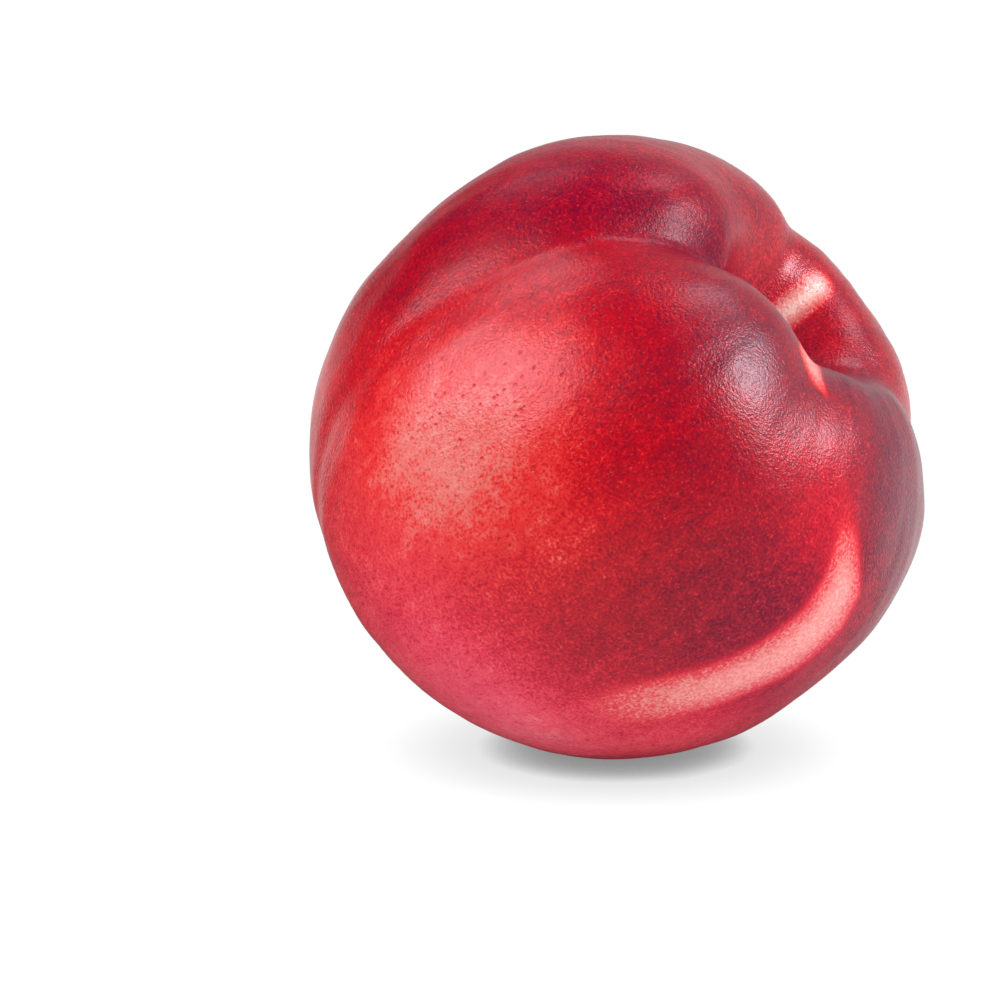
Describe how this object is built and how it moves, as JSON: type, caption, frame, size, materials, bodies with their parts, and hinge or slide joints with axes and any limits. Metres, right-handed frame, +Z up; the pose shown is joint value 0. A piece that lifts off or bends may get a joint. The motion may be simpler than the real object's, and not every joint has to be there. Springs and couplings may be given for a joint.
{
  "type": "nectarine",
  "caption": "Whole ripe nectarine lying on its side, with a deep stem cavity, a suture groove and smooth waxy red skin.",
  "frame": {"origin": "middle of the small flat spot on the underside that the fruit rests on", "axes": "+Z up from the surface it lies on; the stem cavity opens towards +X, 41.5 degrees above the surface and turned 15 degrees towards -Y; -Y is the side the picture shows"},
  "size_m": [0.0715, 0.0718, 0.0724],
  "materials": {
    "skin": "waxy satin fruit skin, deep red mottled with coral and cream"
  },
  "bodies": {
    "root": {"nectarine": "skin"}
  },
  "joints": []
}
